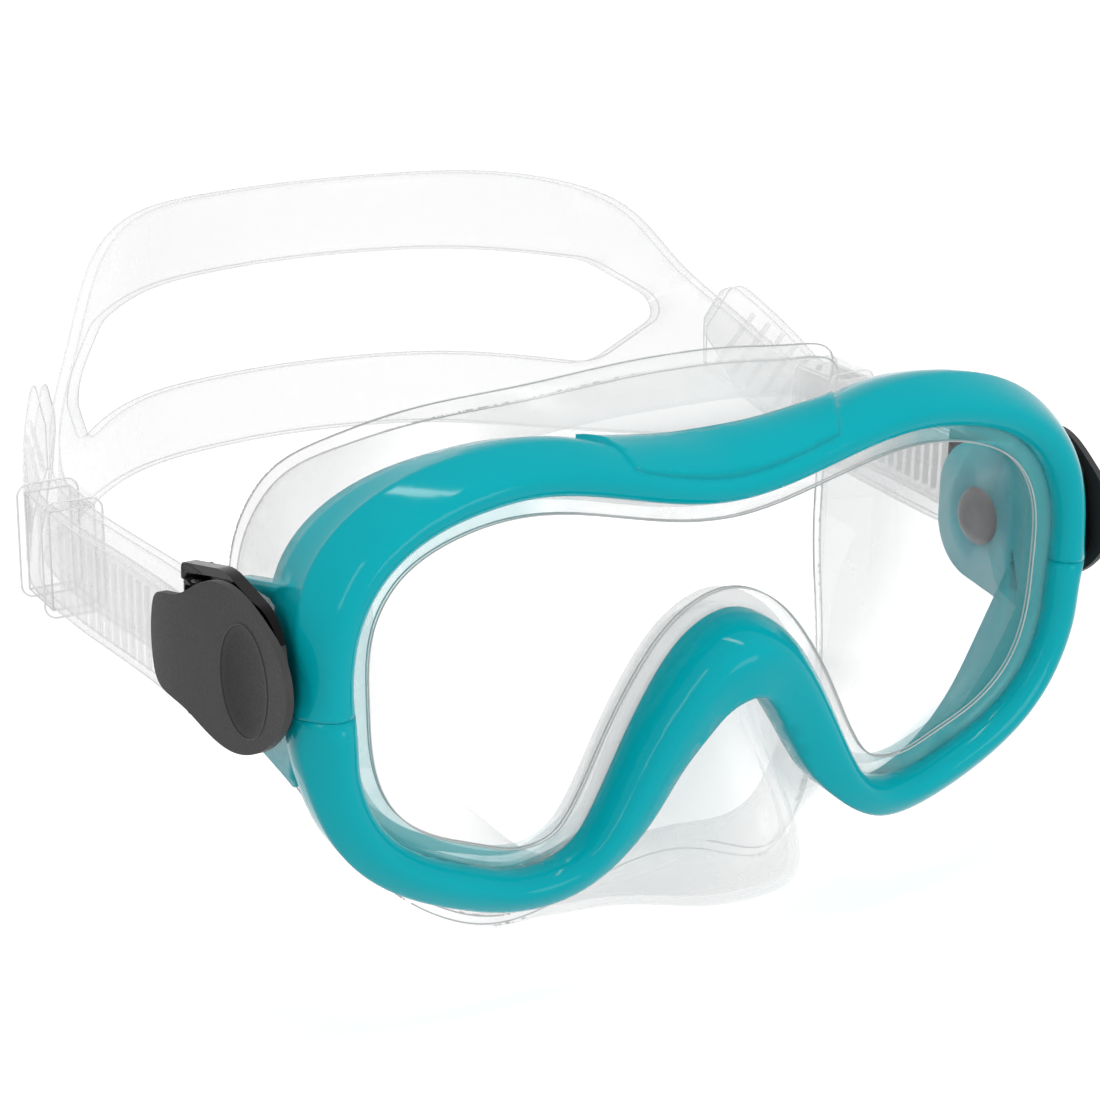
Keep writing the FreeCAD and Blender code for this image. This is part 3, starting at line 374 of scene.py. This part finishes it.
def silicone_material(name, clearest, milkiest, roughness, front_and_lip_paint=None):
    """Clear silicone: see-through where it faces the eye, milky where it is seen along, with a
    painted glow.
    """
    material, tree, shader = moulded_material(
        name, SILICONE_DARK, SILICONE_PALE_AND_GLOW, SILICONE_SPECULAR, flow_scale=30.0,
        grain_scale=260.0, smoothest=roughness, roughest=roughness + SILICONE_GRAIN, relief=0.03)
    # Painted glow, standing in for light scattered inside the silicone.
    shader.inputs["Emission Color"].default_value = SILICONE_PALE_AND_GLOW
    shader.inputs["Emission Strength"].default_value = SILICONE_PAINTED_GLOW
    slant = tree.nodes.new("ShaderNodeLayerWeight")
    slant.inputs["Blend"].default_value = SLANT_BLEND
    haze = ramped(tree, slant.outputs["Facing"], 0.0, 1.0, clearest, milkiest)
    if front_and_lip_paint:
        haze = front_and_lip_paint(tree, shader, haze)
    tree.links.new(haze, shader.inputs["Alpha"])
    return material


def polished_front_painted_lip(tree, shader, haze):
    """Clears the lobes' front, keeps the nose pocket frosted, and paints the lip in the frame
    teal, a painted colour and glow for the lit frame seen through it.
    """
    place = tree.nodes.new("ShaderNodeTexCoord")
    split = tree.nodes.new("ShaderNodeSeparateXYZ")
    tree.links.new(place.outputs["Object"], split.inputs[0])
    depth = split.outputs["Y"]
    across = worked_out(tree, "ABSOLUTE", split.outputs["X"])
    back = ramped(tree, depth, CLEAR_FRONT, MILKY_BACK, CLEAR_SHARE, 1.0)
    pocket = ramped(tree, across, POCKET_WIDTH, SIDE_START, 1.0, CLEAR_SHARE)
    frosted = worked_out(tree, "MAXIMUM", back, pocket)
    haze = worked_out(tree, "MULTIPLY", frosted, haze)
    lip = ramped(tree, depth, LIP_DEPTH, LIP_END, 1.0, 0.0)
    lobe = ramped(tree, across, POCKET_WIDTH, SIDE_START, 0.0, 1.0)
    teal_paint_mask = worked_out(tree, "MULTIPLY", lip, lobe)
    # Painted teal colour and glow on the lip, standing in for the lit frame behind it.
    teal_paint = tree.nodes.new("ShaderNodeMix")
    teal_paint.data_type = "RGBA"
    teal_paint.inputs["B"].default_value = LIP_PAINTED_TEAL
    tree.links.new(shader.inputs["Base Color"].links[0].from_socket, teal_paint.inputs["A"])
    tree.links.new(teal_paint_mask, teal_paint.inputs["Factor"])
    for target in ("Base Color", "Emission Color"):
        tree.links.new(teal_paint.outputs["Result"], shader.inputs[target])
    teal_paint_cover = worked_out(tree, "MULTIPLY", teal_paint_mask, LIP_PAINT_COVER)
    return worked_out(tree, "MAXIMUM", teal_paint_cover, haze)


def painted_rim_material(name, dark, light):
    """A rim of clear silicone seen end on, drawn as a solid grey tube with a painted glow:
    painted shade.
    """
    material, tree, shader = moulded_material(
        name, dark, light, RIM_SPECULAR, flow_scale=60.0, grain_scale=400.0,
        smoothest=0.2, roughest=0.3, relief=0.02)
    shader.inputs["Emission Color"].default_value = light
    shader.inputs["Emission Strength"].default_value = PAINTED_RIM_GLOW
    return material


def on_outer_rim(place):
    """True on the lip over the glass and on the outer rim, but not on the seal's inner edge."""
    across = place.x / SEAL_HALF_WIDTH
    height = (place.z - SEAL_MIDDLE) / SEAL_HALF_HEIGHT
    under_nose = place.z < 0 and abs(place.x) < CHIN_WIDTH
    outside = across ** 2 + height ** 2 > 1.0 and not under_nose
    chin = place.z < CHIN_EDGE - CHIN_SLOPE * abs(place.x)
    return place.y < LIP_BACK or (place.y > WALL_FRONT and (outside or chin))


skirt_silicone = silicone_material("skirt_clear_silicone", SKIRT_CLEAREST, SKIRT_MILKIEST,
                                   SKIRT_ROUGHNESS, polished_front_painted_lip)
skirt_painted_rim = painted_rim_material("skirt_painted_rim_line", PAINTED_RIM_DEEP, PAINTED_RIM_PALE)
skirt = merged_copy("skirt", "skirt_body", SHARP)
skirt.data.materials.append(skirt_silicone)
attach(skirt, "mask")
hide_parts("skirt")
skirt_rims = rim_lines(skirt, "skirt_rims", SKIRT_RIM_RADIUS, SKIRT_FOLD, on_outer_rim)
skirt_rims.data.materials.append(skirt_painted_rim)
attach(skirt_rims, "mask")

# Strap: clear silicone moulded in one, split into two bands at the back of the head. Each tail is
# doubled over its roller, and small cross ribs on its outer face hold it at the lever's pawl.
SIDES = {"right": -1, "left": 1}
STRAP_CLEAREST, STRAP_MILKIEST = 0.27, 0.38
STRAP_ROUGHNESS = 0.24
# Painted shade for the strap's and keepers' rims: grey tubes with a painted glow.
STRAP_PAINTED_EDGE_DEEP = (0.74, 0.74, 0.74, 1)
STRAP_PAINTED_EDGE_PALE = (0.80, 0.80, 0.80, 1)
STRAP_RIM_RADIUS = 0.00014
RIB_PITCH = 0.003
RIB_LENGTH = 0.0148
RIB_WIDTH = 0.0011
RIB_HEIGHT = 0.0009
RIB_SINK = 0.00012
RIB_ROUND = 0.0003
# Well outside the buckles, from where the strap's and the lever's outer faces are looked for.
BESIDE = 0.12
RIB_ROWS = [
    # first rib behind the lens, ribs, height there, how far the strap climbs for each rib
    (0.0400, 12, -0.0110, 0.0),
    (0.0915, 7, -0.0108, 0.00165),
]
strap_silicone = silicone_material("strap_clear_silicone", STRAP_CLEAREST, STRAP_MILKIEST,
                                   STRAP_ROUGHNESS)
strap_painted_rim = painted_rim_material("strap_painted_rim_line", STRAP_PAINTED_EDGE_DEEP, STRAP_PAINTED_EDGE_PALE)
strap = merged_copy("strap", "head_strap", SHARP)
strap.data.materials.append(strap_silicone)
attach(strap, "strap_and_buckles")
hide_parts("strap")
# The strap's rims are drawn as thin grey tubes: painted shade for how its clear edges darken.
strap_rims = rim_lines(strap, "strap_rims", STRAP_RIM_RADIUS)
strap_rims.data.materials.append(strap_painted_rim)
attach(strap_rims, "strap_and_buckles")


def surface_of(piece):
    return BVHTree.FromObject(piece, bpy.context.evaluated_depsgraph_get())


def add_rib(shape, hit, normal, climb):
    """One rounded cross rib, square to the strap's run and sunk a little into its face."""
    along = Vector((0, 1, climb)).normalized()
    out = (normal - along * normal.dot(along)).normalized()
    across = out.cross(along)
    turn = Matrix((out, along, across)).transposed().to_4x4()
    scale = Matrix.Diagonal((RIB_HEIGHT, RIB_WIDTH, RIB_LENGTH, 1))
    place = Matrix.Translation(hit - out * RIB_SINK)
    made = bmesh.ops.create_cube(shape, size=1.0, matrix=place @ turn @ scale)
    edges = list({edge for vert in made["verts"] for edge in vert.link_edges})
    bmesh.ops.bevel(shape, geom=edges, offset=RIB_ROUND, segments=2, profile=0.5,
                    affect="EDGES", material=-1)


strap_surface = surface_of(strap)
for side, sign in SIDES.items():
    rib_shape = bmesh.new()
    for first, count, height, climb in RIB_ROWS:
        for step in range(count):
            start = Vector((sign * BESIDE, first + step * RIB_PITCH, height + step * climb))
            hit, normal = strap_surface.ray_cast(start, Vector((-sign, 0, 0)))[:2]
            if hit is not None:
                add_rib(rib_shape, hit, normal, climb / RIB_PITCH)
    rib_mesh = bpy.data.meshes.new("strap_ribs_" + side)
    rib_shape.to_mesh(rib_mesh)
    rib_shape.free()
    rib_mesh.materials.append(strap_silicone)
    ribs = new_piece("strap_ribs_" + side, rib_mesh)
    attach(ribs, "strap_and_buckles")

# Strap keepers: short clear silicone sleeves, slid over the strap and its tail. Each has a rolled
# rim at both ends, drawn as a pair of fine grey tubes: painted shade with a painted glow.
KEEPER_CLEAREST, KEEPER_MILKIEST = 0.10, 0.28
KEEPER_ROUGHNESS = 0.22
KEEPER_RIM_RADIUS = 0.00018
keeper_silicone = silicone_material("keeper_clear_silicone", KEEPER_CLEAREST, KEEPER_MILKIEST,
                                    KEEPER_ROUGHNESS)
for side in SIDES:
    keeper = merged_copy("strap_keeper_" + side, "keeper_sleeve_" + side, SHARP)
    keeper.data.materials.append(keeper_silicone)
    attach(keeper, "strap_and_buckles")
    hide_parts("strap_keeper_" + side)
    keeper_rims = rim_lines(keeper, "keeper_rims_" + side, KEEPER_RIM_RADIUS)
    keeper_rims.data.materials.append(strap_painted_rim)
    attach(keeper_rims, "strap_and_buckles")

# Swivel posts: turned-down acetal posts that the buckles turn on, with a domed head inside the
# wing. They are dark blue grey and satin.
POST_DARK = (0.035, 0.045, 0.052, 1)
POST_LIGHT = (0.050, 0.062, 0.070, 1)
post_acetal = moulded_material("post_acetal", POST_DARK, POST_LIGHT, specular=0.4,
                               grain_scale=1500.0, smoothest=0.25, roughest=0.38,
                               relief=0.10)[0]
finish_node(post_acetal, "swivel_post_left", "swivel_post_right")

# Buckle bodies: black nylon, moulded in a polished tool, with a raised rim round the lever. Each
# is clipped on its post from outside and holds the roller and the lever on their pins.
BUCKLE_DARK = (0.0030, 0.0030, 0.0033, 1)
BUCKLE_LIGHT = (0.0055, 0.0055, 0.006, 1)
buckle_nylon = moulded_material("buckle_black_nylon", BUCKLE_DARK, BUCKLE_LIGHT, specular=0.10,
                                grain_scale=900.0, smoothest=0.05, roughest=0.11,
                                relief=0.03)[0]
finish_node(buckle_nylon, "buckle_body_left", "buckle_body_right")

# Release levers: dark grey nylon with a spark-eroded matt skin, so that a wet thumb holds. The
# oval thumb recess is left bare, and its colour is darkened inside as painted shade. It is
# bordered by a fine raised line, drawn in a darker nylon as painted edge shade.
LEVER_DARK = (0.036, 0.035, 0.036, 1)
LEVER_LIGHT = (0.050, 0.049, 0.050, 1)
PAINTED_LINE_DEEP = (0.014, 0.013, 0.013, 1)
PAINTED_LINE_PALE = (0.020, 0.019, 0.019, 1)
RECESS_MIDDLE = (0.0078, -0.0091)
RECESS_HALF = (0.0063, 0.0094)
RECESS_SHADE = 0.55
SHADE_START, SHADE_END = 0.80, 1.02
RECESS_LINE = 0.00017
OVAL_STEPS = 72
lever_nylon, tree, shader = moulded_material(
    "lever_grey_nylon", LEVER_DARK, LEVER_LIGHT, specular=0.20, flow_scale=90.0,
    grain_scale=3200.0, smoothest=0.42, roughest=0.62, relief=0.35)
# Painted shade: the colour is darkened inside the oval recess.
place = tree.nodes.new("ShaderNodeTexCoord")
oval_place = tree.nodes.new("ShaderNodeMapping")
oval_place.inputs["Location"].default_value = (
    0.0, -RECESS_MIDDLE[0] / RECESS_HALF[0], -RECESS_MIDDLE[1] / RECESS_HALF[1])
oval_place.inputs["Scale"].default_value = (0.0, 1 / RECESS_HALF[0], 1 / RECESS_HALF[1])
reach = tree.nodes.new("ShaderNodeVectorMath")
reach.operation = "LENGTH"
recess_painted_shade = tree.nodes.new("ShaderNodeVectorMath")
recess_painted_shade.operation = "SCALE"
tree.links.new(place.outputs["Object"], oval_place.inputs["Vector"])
tree.links.new(oval_place.outputs["Vector"], reach.inputs[0])
shade = ramped(tree, reach.outputs["Value"], SHADE_START, SHADE_END, RECESS_SHADE, 1.0)
tree.links.new(shader.inputs["Base Color"].links[0].from_socket, recess_painted_shade.inputs["Vector"])
tree.links.new(shade, recess_painted_shade.inputs["Scale"])
tree.links.new(recess_painted_shade.outputs["Vector"], shader.inputs["Base Color"])
# The raised line is drawn darker than the lever: painted edge shade.
edge_shade_nylon = moulded_material("recess_edge_shade_nylon", PAINTED_LINE_DEEP, PAINTED_LINE_PALE, specular=0.4,
                              grain_scale=2000.0, smoothest=0.3, roughest=0.45, relief=0.1)[0]
finish_node(lever_nylon, "release_lever_left", "release_lever_right")
for side, sign in SIDES.items():
    lever_surface = surface_of(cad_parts["release_lever_" + side])
    oval = bmesh.new()
    bmesh.ops.create_circle(oval, segments=OVAL_STEPS, radius=1.0)
    for vert in oval.verts:
        start = Vector((sign * BESIDE, RECESS_MIDDLE[0] + RECESS_HALF[0] * vert.co.x,
                        RECESS_MIDDLE[1] + RECESS_HALF[1] * vert.co.y))
        hit = lever_surface.ray_cast(start, Vector((-sign, 0, 0)))[0]
        vert.co = start if hit is None else hit
    oval_wire = bpy.data.meshes.new("recess_oval_" + side)
    oval.to_mesh(oval_wire)
    oval.free()
    recess_line = tube_along("thumb_recess_line_" + side, oval_wire, RECESS_LINE)
    recess_line.data.materials.append(edge_shade_nylon)
    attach(recess_line, "lever_" + side)

# Rollers: black acetal tubes that the strap is doubled over, worn a little smoother by it. Each
# turns freely on the steel pin through the buckle body.
ROLLER_DARK = (0.016, 0.016, 0.017, 1)
ROLLER_LIGHT = (0.026, 0.026, 0.027, 1)
roller_acetal = moulded_material("roller_acetal", ROLLER_DARK, ROLLER_LIGHT, specular=0.45,
                                 grain_scale=1200.0, smoothest=0.18, roughest=0.30,
                                 relief=0.06)[0]
finish_node(roller_acetal, "strap_roller_left", "strap_roller_right")

# Pins and leaf springs: stainless steel, ground for the pins and rolled for the leaves. Both are
# pressed or laid in from the side and never painted.
PIN_DARK = (0.52, 0.53, 0.54, 1)
PIN_LIGHT = (0.62, 0.63, 0.64, 1)
SPRING_DARK = (0.44, 0.44, 0.43, 1)
SPRING_LIGHT = (0.55, 0.55, 0.54, 1)
pin_steel, tree, shader = moulded_material(
    "ground_pin_steel", PIN_DARK, PIN_LIGHT, specular=0.5, grain_scale=2600.0,
    smoothest=0.20, roughest=0.34, relief=0.06)
shader.inputs["Metallic"].default_value = 1.0
spring_steel, tree, shader = moulded_material(
    "rolled_spring_steel", SPRING_DARK, SPRING_LIGHT, specular=0.5, grain_scale=1400.0,
    smoothest=0.26, roughest=0.40, relief=0.08)
shader.inputs["Metallic"].default_value = 1.0
for side in SIDES:
    finish_node(pin_steel, "roller_pin_" + side, "lever_pin_" + side)
    finish_node(spring_steel, "lever_spring_" + side)
